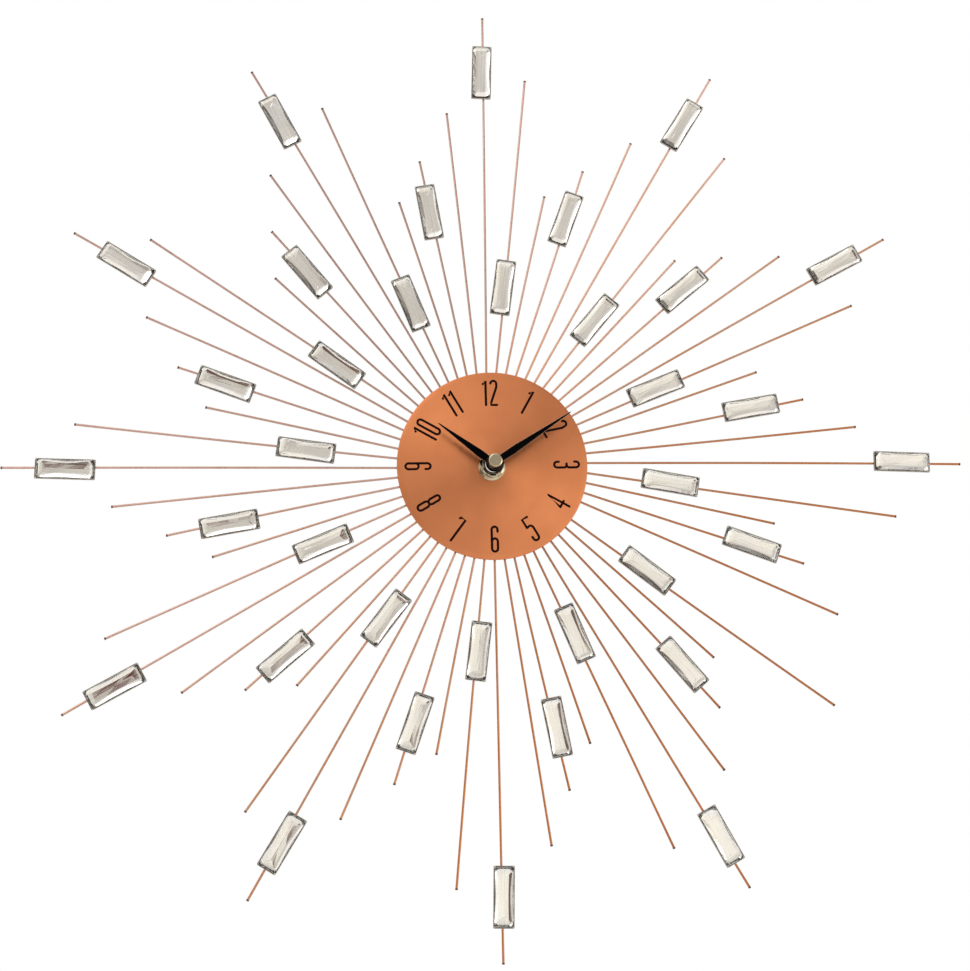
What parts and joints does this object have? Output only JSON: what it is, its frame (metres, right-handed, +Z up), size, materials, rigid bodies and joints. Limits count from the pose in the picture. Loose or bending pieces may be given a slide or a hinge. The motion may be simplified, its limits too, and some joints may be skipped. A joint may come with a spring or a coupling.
{
  "type": "sunburst wall clock",
  "caption": "Sunburst wall clock: copper wire rays carry cut crystals in cups around a spun copper dial, with black lance hands and a battery quartz movement behind.",
  "frame": {"origin": "seat of the wall hook, under the hanger's bar, on the wall plane; the hands' axis is 34 mm below it", "axes": "+Z up, +Y into the wall, so the face looks along -Y, and +X to the viewer's right"},
  "size_m": [0.4998, 0.0392, 0.4998],
  "materials": {
    "copper_wire": "copper-plated wire and sheet, satin, brazed",
    "spun_copper": "copper, turned to fine concentric rings and lacquered",
    "crystal": "clear cut glass over a bright foil",
    "black_metal": "satin black",
    "pale_brass": "pale gold plating, polished",
    "brass": "turned brass",
    "black_plastic": "moulded, fine texture",
    "white_plastic": "moulded, smooth",
    "steel": "stamped, bright",
    "board_green": "solder-masked board",
    "coil_wire": "enamelled copper winding",
    "battery_wrap": "plain wrap over steel, no print"
  },
  "bodies": {
    "clock": {"battery_contact_negative": "steel", "battery_contact_positive": "steel", "circuit_board": "board_green", "coil": "coil_wire", "dial": "spun_copper", "front_washer": "pale_brass", "inner_crystal_01": "crystal", "inner_crystal_02": "crystal", "inner_crystal_03": "crystal", "inner_crystal_04": "crystal", "inner_crystal_05": "crystal", "inner_crystal_06": "crystal", "inner_crystal_07": "crystal", "inner_crystal_08": "crystal", "inner_crystal_09": "crystal", "inner_crystal_10": "crystal", "inner_crystal_11": "crystal", "inner_crystal_12": "crystal", "middle_crystal_01": "crystal", "middle_crystal_02": "crystal", "middle_crystal_03": "crystal", "middle_crystal_04": "crystal", "middle_crystal_05": "crystal", "middle_crystal_06": "crystal", "middle_crystal_07": "crystal", "middle_crystal_08": "crystal", "middle_crystal_09": "crystal", "middle_crystal_10": "crystal", "middle_crystal_11": "crystal", "middle_crystal_12": "crystal", "mounting_nut": "pale_brass", "movement_case": "black_plastic", "outer_crystal_01": "crystal", "outer_crystal_02": "crystal", "outer_crystal_03": "crystal", "outer_crystal_05": "crystal", "outer_crystal_06": "crystal", "outer_crystal_07": "crystal", "outer_crystal_08": "crystal", "outer_crystal_09": "crystal", "outer_crystal_10": "crystal", "outer_crystal_11": "crystal", "outer_crystal_12": "crystal", "ray_frame": "copper_wire", "rear_cover": "black_plastic", "stator": "steel", "threaded_bushing": "brass"},
    "minute": {"minute_arbor": "steel", "minute_hand": "black_metal", "hand_cap": "pale_brass"},
    "hour": {"hour_wheel": "brass", "hour_hand": "black_metal"},
    "motion": {"motion_wheel": "white_plastic"},
    "knob": {"setting_knob": "white_plastic"},
    "seconds": {"seconds_wheel": "white_plastic"},
    "third": {"third_wheel": "white_plastic"},
    "centre": {"centre_wheel": "brass"},
    "intermediate": {"intermediate_wheel": "white_plastic"},
    "rotor": {"rotor": "steel"},
    "battery": {"battery": "battery_wrap"}
  },
  "joints": [
    {"name": "minute_hand_spin", "type": "hinge", "parent": "clock", "child": "minute", "pos_m": [0, 0, -0.034], "axis": [0, 1, 0], "continuous": true},
    {"name": "hour_hand_spin", "type": "hinge", "parent": "clock", "child": "hour", "pos_m": [0, 0, -0.034], "axis": [0, 1, 0], "continuous": true},
    {"name": "motion_wheel_spin", "type": "hinge", "parent": "clock", "child": "motion", "pos_m": [-0.00789, 0, -0.03687], "axis": [0, 1, 0], "continuous": true},
    {"name": "setting_knob_spin", "type": "hinge", "parent": "clock", "child": "knob", "pos_m": [-0.01617, 0, -0.03833], "axis": [0, 1, 0], "continuous": true},
    {"name": "seconds_wheel_spin", "type": "hinge", "parent": "clock", "child": "seconds", "pos_m": [0, 0, -0.034], "axis": [0, 1, 0], "continuous": true},
    {"name": "third_wheel_spin", "type": "hinge", "parent": "clock", "child": "third", "pos_m": [-0.00883, 0, -0.0289], "axis": [0, 1, 0], "continuous": true},
    {"name": "centre_wheel_spin", "type": "hinge", "parent": "clock", "child": "centre", "pos_m": [0, 0, -0.034], "axis": [0, 1, 0], "continuous": true},
    {"name": "intermediate_wheel_spin", "type": "hinge", "parent": "clock", "child": "intermediate", "pos_m": [0.00643, 0, -0.0286], "axis": [0, 1, 0], "continuous": true},
    {"name": "rotor_spin", "type": "hinge", "parent": "clock", "child": "rotor", "pos_m": [0.01163, 0, -0.0256], "axis": [0, 1, 0], "continuous": true},
    {"name": "battery_lift", "type": "slide", "parent": "clock", "child": "battery", "axis": [0, 1, 0], "range_m": [0, 0.018]}
  ],
  "couplings": [
    {"joint": "hour_hand_spin", "follows": "minute_hand_spin", "ratio": 0.083333},
    {"joint": "motion_wheel_spin", "follows": "minute_hand_spin", "ratio": -0.33333},
    {"joint": "setting_knob_spin", "follows": "minute_hand_spin", "ratio": 1},
    {"joint": "intermediate_wheel_spin", "follows": "rotor_spin", "ratio": -0.2},
    {"joint": "seconds_wheel_spin", "follows": "rotor_spin", "ratio": 0.033333},
    {"joint": "third_wheel_spin", "follows": "rotor_spin", "ratio": -0.0044444},
    {"joint": "centre_wheel_spin", "follows": "rotor_spin", "ratio": 0.00055556}
  ]
}
